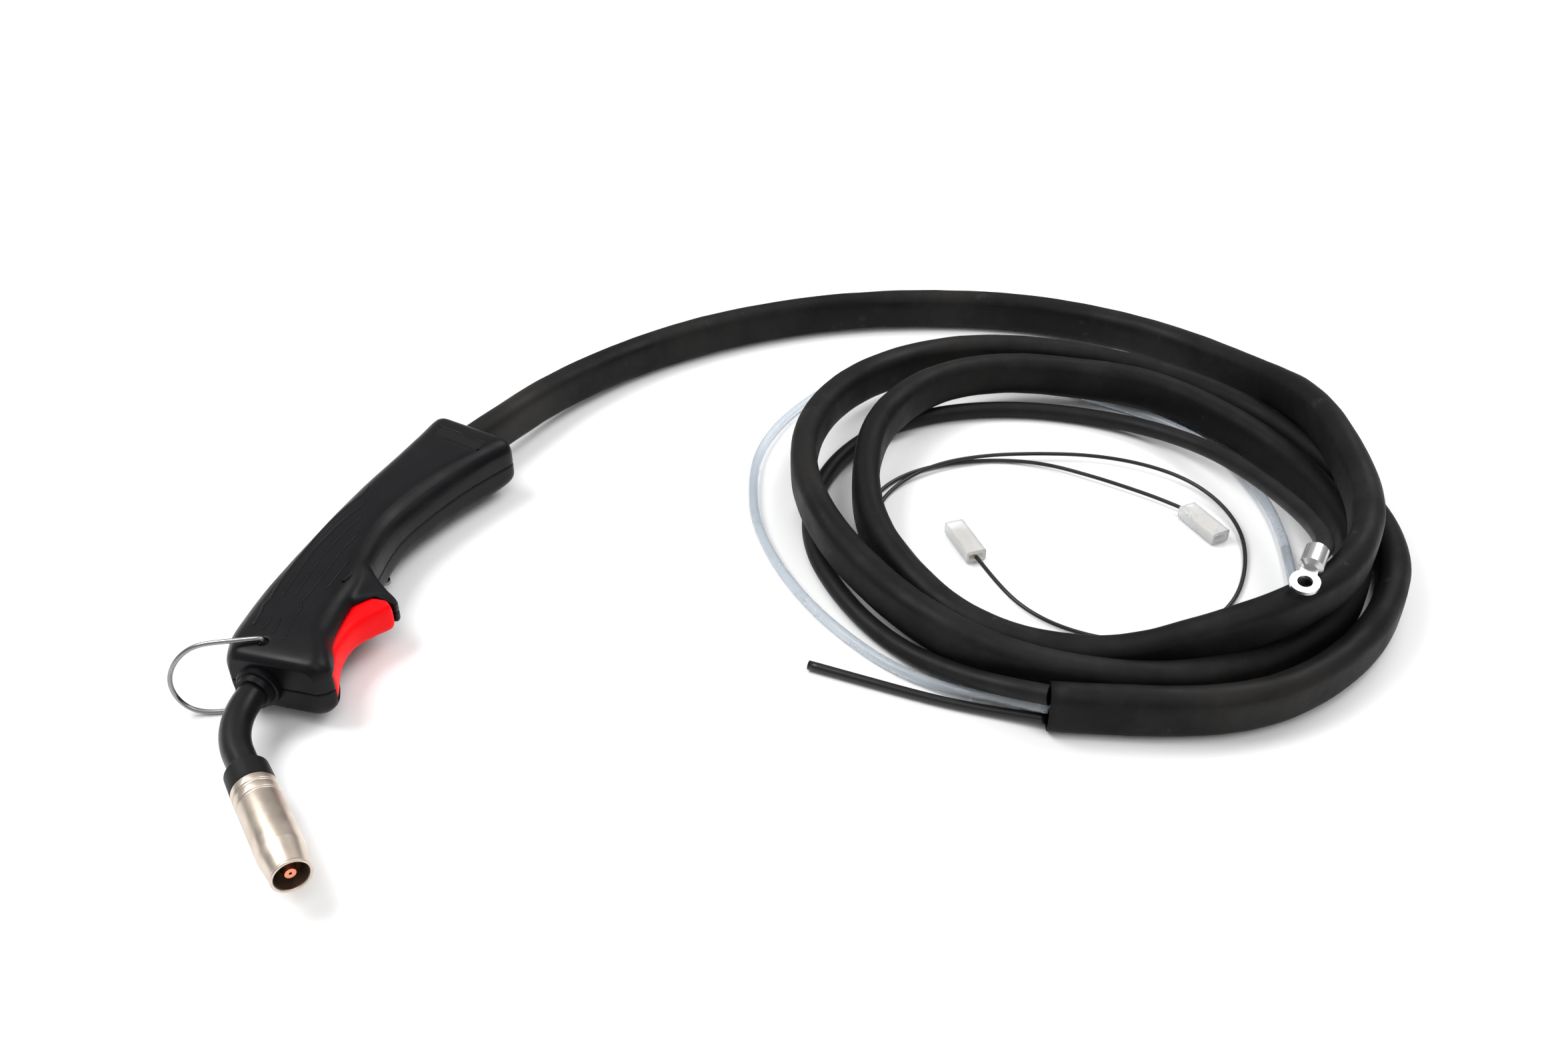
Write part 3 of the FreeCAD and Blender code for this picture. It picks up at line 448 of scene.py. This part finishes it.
hollow_cord("cable_sheath", SHEATH_ROUTE, 14.2, 24.0, 1.7, 1.0, "sheath_rubber")
round_cord("power_cable", POWER_ROUTE, 9.0, "cable_rubber")
hollow_cord("gas_hose", GAS_ROUTE, 5.0, 5.0, 0.9, 0.0, "hose_clear")
hollow_cord("liner_tube", LINER_ROUTE, 4.4, 4.4, 0.9, 0.0, "liner_plastic")
round_cord("control_wire_a", WIRE_A_ROUTE, 2.1, "wire_insulation")
round_cord("control_wire_b", WIRE_B_ROUTE, 2.1, "wire_insulation")

# ------------------------------------------------------------------ handle shells
# Sections from the neck to the rear, in millimetres: x, y on the trigger's side, y on the back,
# depth below and height above the parting plane, corner radius on each side, heading in degrees.
SECTIONS = [
    (-53.0, -10.5, 30.0, 11.0, 12.5, 5, 7, 0),
    (-50.5, -14.5, 32.5, 13.0, 15.0, 7, 9, 0),
    (-46.0, -16.2, 34.8, 14.0, 16.0, 9, 10, 0),
    (-39.0, -12.8, 37.5, 14.8, 16.4, 9, 11, 0),
    (-28.0, -6.5, 39.5, 15.5, 16.5, 10, 12, 0),
    (-10.0, -3.0, 41.0, 16.0, 16.5, 10, 12, 0),
    (10.0, -1.5, 41.3, 16.0, 16.5, 11, 12, 0),
    (30.0, 2.5, 41.0, 16.0, 16.5, 12, 12, -4),
    (55.0, 5.0, 40.3, 16.3, 16.5, 13, 12, -6),
    (80.0, 1.0, 38.5, 16.5, 16.5, 13, 12, -10),
    (105.0, -6.0, 35.5, 16.5, 16.0, 11, 11, -12),
    (125.0, -13.8, 33.5, 15.5, 15.5, 9, 10, -14),
    (137.0, -19.0, 32.3, 14.2, 15.2, 9, 9, -15.5),
    (141.0, -19.3, 30.5, 12.0, 13.5, 7, 8, -15.5),
    (142.8, -17.0, 26.0, 9.5, 11.0, 6, 6, -15.5),
]
PARTING = 19.0
# The finger guard from the handle's flank out to its tip: y, x at the front and rear, half
# height, corner radius.
GUARD = [
    (5.0, -12.0, 26.0, 14.0, 8.0),
    (0.0, -7.0, 21.0, 11.6, 6.0),
    (-5.0, 0.0, 16.8, 10.0, 5.0),
    (-10.0, 4.8, 13.4, 8.2, 4.0),
    (-14.5, 5.2, 11.0, 6.5, 3.0),
    (-16.8, 5.2, 9.2, 5.6, 2.0),
    (-17.7, 5.9, 8.2, 4.9, 1.1),
]
SLOT = [(5.6, -22.0), (5.6, 4.2), (-36.0, 4.2), (-48.6, -6.0), (-48.9, -9.5), (-48.3, -13.0),
        (-46.5, -15.9), (-46.3, -22.0)]
LABEL = [(119.4, -7.2), (126.9, -7.3), (135.9, 22.0), (128.4, 22.2)]
SCREWS = [(-43.5, 28.0, 5.6), (22.0, 36.5, 6.3), (40.0, 8.4, 5.2), (100.0, 32.5, 6.0),
          (104.0, 2.5, 3.8)]
HOOK = (-43.2, 17.3)
PIVOT = (-43.5, -9.5)
NECK_Y = 16.35
WALL = 2.6
SEAM = 0.05
SLOT_HALF = 8.0
NECK_BORE = 6.45
LABEL_FLOOR = 33.5
# The oval hole for the cable: its middle, its heading, its rounding and half its straight side.
CABLE_MOUTH = Vector((126, 14, PARTING))
CABLE_HEADING = math.radians(-15.5)
CABLE_ROUND = 7.75
CABLE_FLAT = 4.7


def between(values, t):
    """A smooth curve through rows of numbers, read at t rows from the first."""
    first = min(int(t), len(values) - 2)
    part = t - first
    rows = [values[max(min(first + step, len(values) - 1), 0)] for step in (-1, 0, 1, 2)]
    made = []
    for a, b, c, d in zip(*rows):
        made.append(b + part * ((c - a) / 2 + part * (
            a - 2.5 * b + 2 * c - d / 2 + part * (1.5 * (b - c) + (d - a) / 2))))
    return made


def section_ring(values, inset, arc_steps=9, side_steps=7):
    """Points round the handle at one section, drawn in by the inset."""
    x, trigger_y, back_y, below, above, trigger_round, back_round, heading = values
    half = (back_y - trigger_y) / 2 - inset
    low, high = -below + inset, above - inset
    near, far = trigger_round - inset, back_round - inset
    corners = [(half - far, high - far, far, 0), (-half + near, high - near, near, 90),
               (-half + near, low + near, near, 180), (half - far, low + far, far, 270)]
    flat = []
    for across, height, radius, start in corners:
        for step in range(arc_steps):
            angle = math.radians(start + 90 * step / (arc_steps - 1))
            flat.append((across + radius * math.cos(angle), height + radius * math.sin(angle)))
    filled = []
    for count, spot in enumerate(flat):
        filled.append(spot)
        if count % arc_steps == arc_steps - 1:
            after = flat[(count + 1) % len(flat)]
            for step in range(1, side_steps):
                part = step / side_steps
                filled.append((spot[0] + (after[0] - spot[0]) * part,
                               spot[1] + (after[1] - spot[1]) * part))
    turn = math.radians(heading)
    middle = (trigger_y + back_y) / 2
    return [(x - math.sin(turn) * across, middle + math.cos(turn) * across, PARTING + height)
            for across, height in filled]


def handle_body(name, inset, first=0, last=14, steps=6):
    """The handle's solid shape between two rows of its sections."""
    rings = []
    for count in range((last - first) * steps + 1):
        rings.append(section_ring(between(SECTIONS, first + count / steps), inset))
    return loft(name, rings)


def rounded_plan(corners, steps=6):
    """An outline whose corners are rounded by their own radius."""
    points = []
    for count, (x, y, radius) in enumerate(corners):
        point = Vector((x, y))
        before = Vector(corners[count - 1][:2])
        after = Vector(corners[(count + 1) % len(corners)][:2])
        along_in = (point - before).normalized()
        along_out = (after - point).normalized()
        reach = radius * math.tan(along_in.angle(along_out) / 2)
        start, end = point - along_in * reach, point + along_out * reach
        for step in range(steps + 1):
            part = step / steps
            points.append(start * (1 - part) ** 2 + point * 2 * part * (1 - part) + end * part ** 2)
    return [(point.x, point.y) for point in points]


def prism(name, plan, low, high):
    return loft(name, [[(x, y, low) for x, y in plan], [(x, y, high) for x, y in plan]])


def rod(name, start, end, radius, sides=24, end_radius=None):
    start, end = Vector(start), Vector(end)
    turn = (end - start).to_track_quat("Z", "Y")
    rings = []
    for place, size in ((start, radius), (end, radius if end_radius is None else end_radius)):
        rings.append([place + turn @ Vector((size * math.cos(2 * math.pi * k / sides),
                                             size * math.sin(2 * math.pi * k / sides), 0))
                      for k in range(sides)])
    return loft(name, rings)


def bead(name, points, radius, sides=8):
    """A rounded moulded line through points, thinning out at both ends."""
    smooth = []
    for count in range((len(points) - 1) * 6 + 1):
        smooth.append(Vector(between(points, count / 6)))
    rings = []
    for count, place in enumerate(smooth):
        along, across, up = ring_round(smooth, count)
        size = radius * (0.35 if count in (0, len(smooth) - 1) else 1.0)
        rings.append([place + (across * math.cos(2 * math.pi * k / sides)
                               + up * math.sin(2 * math.pi * k / sides)) * size
                      for k in range(sides)])
    return loft(name, rings)


# Raised lines along the top, as x and y on the top face.
RAISED = [
    [(-35, 27), (-30, 27.6), (-25, 28.7), (-21, 30), (-17, 29.6), (-8, 31.2), (5, 32.8),
     (18, 33.7), (34, 34.4), (49, 33.6), (59, 31.8), (67, 29.8), (74, 30)],
    [(-13.5, 25.4), (-4, 26.8), (9, 28.2), (24, 29.2), (37, 28.8), (48, 27.7), (59, 25.6),
     (63, 26)],
    [(-12.5, 20.2), (-1, 21.6), (11.5, 22.8), (24.5, 23.3), (37, 22.8), (47.5, 21.4), (51.5, 21.8)],
    [(-40.5, 9.2), (-33, 10.8), (-24, 12.7), (-19, 13), (-16, 14.9), (-11, 15), (0, 15.3),
     (12, 16.3), (25, 16.7), (34.5, 16.1), (38.5, 16.7)],
    [(-5, 9.4), (0, 9.4), (7.5, 9.5), (16.5, 10), (20.5, 11.4)],
    [(-36.3, 21.8), (-32.4, 21.9), (-28.4, 22.3)],
    [(-38, 16), (-32, 17.1), (-27.4, 18.2)],
    [(3, 4.9), (7.2, 4.3), (11, 4.6)],
]


def top_height(x, y):
    """Height of the handle's top face, which drops towards both ends and its rounded back."""
    for count in range(len(SECTIONS) - 1):
        if SECTIONS[count][0] <= x <= SECTIONS[count + 1][0]:
            part = (x - SECTIONS[count][0]) / (SECTIONS[count + 1][0] - SECTIONS[count][0])
            values = between(SECTIONS, count + part)
            break
    far = values[6]
    over = max(0.0, y - (values[2] - far))
    return PARTING + values[4] - far + math.sqrt(max(far * far - over * over, 0.0))


def slab(name, low, high):
    return prism(name, [(-90, -60), (190, -60), (190, 80), (-90, 80)], low, high)


def guard_body(name, shrink):
    """The finger guard, or a smaller copy of it for the groove's floor."""
    rings = []
    for count in range((len(GUARD) - 1) * 4 + 1):
        y, front, rear, half, radius = between(GUARD, count / 4)
        front, rear, half = front + shrink, rear - shrink, half - shrink
        plan = rounded_plan([(front, -half, radius), (rear, -half, radius), (rear, half, radius),
                             (front, half, radius)], 8)
        rings.append([(x, y + shrink, PARTING + height) for x, height in plan])
    return loft(name, rings)


def cable_hole():
    along = Vector((math.cos(CABLE_HEADING), math.sin(CABLE_HEADING), 0))
    across = Vector((-math.sin(CABLE_HEADING), math.cos(CABLE_HEADING), 0))
    rings = []
    for reach in (0, 40):
        ring = []
        for side in range(48):
            angle = 2 * math.pi * side / 48
            wide = CABLE_ROUND * math.cos(angle)
            tall = CABLE_ROUND * math.sin(angle) + math.copysign(CABLE_FLAT, math.sin(angle))
            ring.append(CABLE_MOUTH + along * reach + across * wide + Vector((0, 0, tall)))
        rings.append(ring)
    return loft("cable_hole", rings)


def ease_flank(half):
    """Softens the flank round the foot of the finger guard, clear of the trigger's slot."""
    blend = half.vertex_groups.new(name="flank")
    for vertex in half.data.vertices:
        x, y, z = vertex.co / MM
        near = 1.0 - math.hypot(x - 8.0, (y + 1.0) * 0.9) / 22.0
        clear = (abs(z - PARTING) - 8.3) / 2.5
        if near > 0 and clear > 0:
            blend.add([vertex.index], min(1.0, near * 2.0) * min(1.0, clear), "REPLACE")
    flow = half.modifiers.new("flow", "SMOOTH")
    flow.factor = 0.5
    flow.iterations = 60
    flow.vertex_group = "flank"
    settle(half)


def make_shells():
    """The two handle halves, with the groove where they meet and the raised lines on top."""
    outside = handle_body("handle", 0.0)
    combine(outside, guard_body("guard", 0.0), "UNION")
    combine(outside, handle_body("room", WALL, 1, 13), "DIFFERENCE")
    combine(outside, prism("slot", SLOT, PARTING - SLOT_HALF, PARTING + SLOT_HALF), "DIFFERENCE")
    combine(outside, rod("neck_seat", (-70, NECK_Y, PARTING), (-30, NECK_Y, PARTING), NECK_BORE,
                         48), "DIFFERENCE")
    combine(outside, cable_hole(), "DIFFERENCE")
    combine(outside, rod("hook_hole", (*HOOK, -1), (*HOOK, 45), 1.2), "DIFFERENCE")
    for low, high in ((33.6, 45), (-1, 5.9)):
        combine(outside, rod("hook_relief", (*HOOK, low), (*HOOK, high), 2.4), "DIFFERENCE")
    for x, y, seat in SCREWS:
        combine(outside, rod("screw_seat", (x, y, -1), (x, y, seat + 1.8), 2.9), "DIFFERENCE")
    groove = slab("groove", PARTING - 1.0, PARTING + SEAM)
    combine(groove, handle_body("core", 1.1), "DIFFERENCE")
    combine(groove, guard_body("guard_core", 1.0), "DIFFERENCE")

    shells = []
    for name, low, high, cell in (("handle_top", PARTING + SEAM, 45, 0.5),
                                  ("handle_bottom", -5, PARTING - SEAM, 0.6)):
        half = copy_of(outside, name + "_detail")
        combine(half, slab("half", low, high), "INTERSECT")
        if low < 0:
            combine(half, groove, "DIFFERENCE")
        even_out(half, cell)
        ease_flank(half)
        thin_out(half)
        if low > 0:
            combine(half, prism("label_seat", LABEL, LABEL_FLOOR, 40), "DIFFERENCE")
            lines = [bead("raised", [(x, y, top_height(x, y) - 0.3) for x, y in line], 0.8)
                     for line in RAISED]
            join(half, lines)
        for face in half.data.polygons:
            face.use_smooth = True
        shells.append(half)
    bpy.data.objects.remove(outside)
    return shells


top_shell, bottom_shell = make_shells()
finish_piece(top_shell, "torch", "handle_plastic", "handle_top_shell")
finish_piece(bottom_shell, "torch", "handle_plastic", "handle_bottom_shell")

# ------------------------------------------------------------------ trigger
# The trigger's finger face at its middle height, from the pin to the guard: x, y, and how far the
# face falls back at the trigger's top and bottom.
FINGER = [
    (-47.3, -10.5, 0.0), (-46.8, -13.6, 0.6), (-45.4, -15.6, 2.0), (-41.0, -14.2, 4.5),
    (-35.0, -11.4, 5.8), (-28.0, -9.0, 6.0), (-18.5, -8.0, 6.0), (-11.5, -9.2, 5.4),
    (-4.5, -12.8, 4.6), (1.6, -16.9, 4.0), (3.9, -16.9, 3.2), (4.8, -15.2, 2.2),
]
TRIGGER_BACK = [(4.8, -8.0), (3.8, 0.4), (0.0, 2.0), (-34.0, 0.4), (-36.5, -4.6), (-43.5, -5.6),
                (-46.4, -7.6)]
TRIGGER_HALF = 7.6


def make_trigger():
    """The trigger: rounded finger face, room for the switch, and the pin's hole."""
    rings = []
    for count in range(25):
        level = math.sin(math.radians(-90 + 180 * count / 24))
        fall = 1 - (1 - abs(level) ** 2.6) ** (1 / 2.6)
        ring = []
        for step in range((len(FINGER) - 1) * 5 + 1):
            x, y, depth = between(FINGER, step / 5)
            ring.append((x, y + depth * fall, PARTING + TRIGGER_HALF * level))
        ring.extend((x, y, PARTING + TRIGGER_HALF * level) for x, y in TRIGGER_BACK)
        rings.append(ring)
    piece = loft("trigger_detail", rings)
    combine(piece, prism("switch_room", [(-38.0, -4.6), (6.0, -4.6), (6.0, 8.0), (-38.0, 8.0)],
                         PARTING - 5.9, PARTING + 5.9), "DIFFERENCE")
    combine(piece, rod("pin_hole", (*PIVOT, 0), (*PIVOT, 40), 1.6, 32), "DIFFERENCE")
    even_out(piece, 0.4)
    thin_out(piece)
    piece.data.shade_smooth()
    return piece


finish_piece(make_trigger(), "trigger", "trigger_plastic", "trigger")

# ------------------------------------------------------------------ hook and nozzle
def smooth_wire(name, points, radius):
    """Round wire whose centre line is one smooth curve through given points."""
    curve = route_curve(name, points, radius)
    curve.data.splines[0].order_u = 4
    curve.data.resolution_u = 12
    return curve


HX, HY = HOOK
HOOK_LINE = [
    (HX, HY, 29.0), (HX, HY, 34.0), (HX, HY, 36.6), (HX - 0.4, HY + 1.0, 37.0),
    (-46.5, 25.0, 36.9), (-50.5, 34.5, 36.9), (-53.8, 43.5, 36.0), (-57.0, 51.5, 30.0),
    (-60.0, 56.6, 20.5), (-60.9, 56.0, 10.5), (-60.6, 50.0, 3.0), (-58.0, 41.0, 1.1),
    (-53.5, 32.0, 1.1), (-46.5, 22.5, 1.1), (HX - 0.4, HY + 1.0, 1.1), (HX, HY, 1.4),
    (HX, HY, 4.0), (HX, HY, 10.0),
]
HOOK_RADIUS = 1.1
finish_piece(smooth_wire("hook_detail", HOOK_LINE, HOOK_RADIUS), "hook", "steel", "hook_wire")

BEND = math.radians(46.8)
CORNER = Vector((-79.0, NECK_Y, PARTING))
OUTWARD = Vector((-math.cos(BEND), -math.sin(BEND), 0))


def turned(name, profile, origin, along, sides=96):
    """A ring-shaped turned piece from a closed profile of distances and radii on an axis."""
    along = Vector(along).normalized()
    side = along.cross(Vector((0, 0, 1))).normalized()
    up = side.cross(along)
    points, faces = [], []
    count = len(profile)
    for step in range(sides):
        angle = 2 * math.pi * step / sides
        out = side * math.cos(angle) + up * math.sin(angle)
        for reach, radius in profile:
            points.append(origin + along * reach + out * radius)
        for spot in range(count):
            a, b = step * count, (step + 1) % sides * count
            after = (spot + 1) % count
            faces.append((a + spot, a + after, b + after, b + spot))
    piece = make_mesh(name, points, faces)
    piece.data.set_sharp_from_angle(angle=math.radians(28))
    return piece


def softened(profile, radius=0.25, steps=3):
    """Rounds every corner of a closed profile."""
    made = []
    for count, point in enumerate(profile):
        point = Vector(point)
        before = Vector(profile[count - 1])
        after = Vector(profile[(count + 1) % len(profile)])
        reach = min(radius, (before - point).length * 0.45, (after - point).length * 0.45)
        start = point + (before - point).normalized() * reach
        end = point + (after - point).normalized() * reach
        for step in range(steps + 1):
            part = step / steps
            made.append(start * (1 - part) ** 2 + point * 2 * part * (1 - part) + end * part ** 2)
    return made


# The nozzle's ends along the neck's outer axis, and its radii: outside, in its two grooves, in
# its bore, and in the part of the bore that grips the neck.
REAR, MOUTH = 42.2, 93.3
OUTER, GROOVE, BORE, GRIP = 9.3, 8.75, 7.8, 7.3
NOZZLE = [
    (REAR, GRIP), (REAR, 9.0), (REAR + 0.3, OUTER), (REAR + 3.5, OUTER), (REAR + 3.9, GROOVE),
    (REAR + 4.6, GROOVE), (REAR + 5.0, OUTER), (REAR + 8.5, OUTER), (REAR + 8.9, GROOVE),
    (REAR + 9.6, GROOVE), (REAR + 10.0, OUTER), (MOUTH - 13.0, OUTER), (MOUTH - 1.2, 7.9),
    (MOUTH - 0.9, 8.05), (MOUTH - 0.3, 8.05), (MOUTH, 7.75), (MOUTH, 7.0), (MOUTH - 0.6, 6.7),
    (MOUTH - 11.0, BORE), (REAR + 34.0, BORE), (REAR + 19.0, BORE), (REAR + 18.5, GRIP),
]
finish_piece(turned("nozzle_detail", softened(NOZZLE), CORNER, OUTWARD), "nozzle",
             "nozzle_copper", "nozzle")

# ------------------------------------------------------------------ floor and light
floor = link("floor", bpy.data.meshes.new("floor"))
ground = bmesh.new()
bmesh.ops.create_grid(ground, x_segments=2, y_segments=2, size=4.0)
ground.to_mesh(floor.data)
ground.free()
paper = Look("paper", (0.93, 0.93, 0.93), 0.8)
paper.bump(paper.noise(300.0, 3.0), 0.0001, 0.2)
floor.data.materials.append(paper.made)

world = bpy.data.worlds.new("studio")
world.use_nodes = True
sky = world.node_tree.nodes
height = sky.new("ShaderNodeSeparateXYZ")
shade = sky.new("ShaderNodeMapRange")
for socket, number in (("From Min", -0.1), ("From Max", 0.7), ("To Min", 0.16), ("To Max", 0.62)):
    shade.inputs[socket].default_value = number
wires = world.node_tree.links
wires.new(sky.new("ShaderNodeTexCoord").outputs["Generated"], height.inputs["Vector"])
wires.new(height.outputs["Z"], shade.inputs["Value"])
wires.new(shade.outputs["Result"], sky["Background"].inputs["Strength"])
sky["Background"].inputs["Color"].default_value = (1.0, 1.0, 1.0, 1.0)
bpy.context.scene.world = world
for name, place, size, power in (("key", (0.0, 0.75, 1.3), 0.8, 17.0),
                                 ("fill", (-0.55, -0.75, 1.5), 1.1, 7.0),
                                 ("rim", (0.9, -0.75, 1.1), 0.8, 9.0)):
    lamp = bpy.data.lights.new(name, "AREA")
    lamp.size = size
    lamp.energy = power
    stand = link(name, lamp)
    stand.location = place
    aim = Vector((0.1, -0.15, 0.0)) - Vector(place)
    stand.rotation_euler = aim.to_track_quat("-Z", "Y").to_euler()
bpy.context.scene.view_settings.view_transform = "Standard"
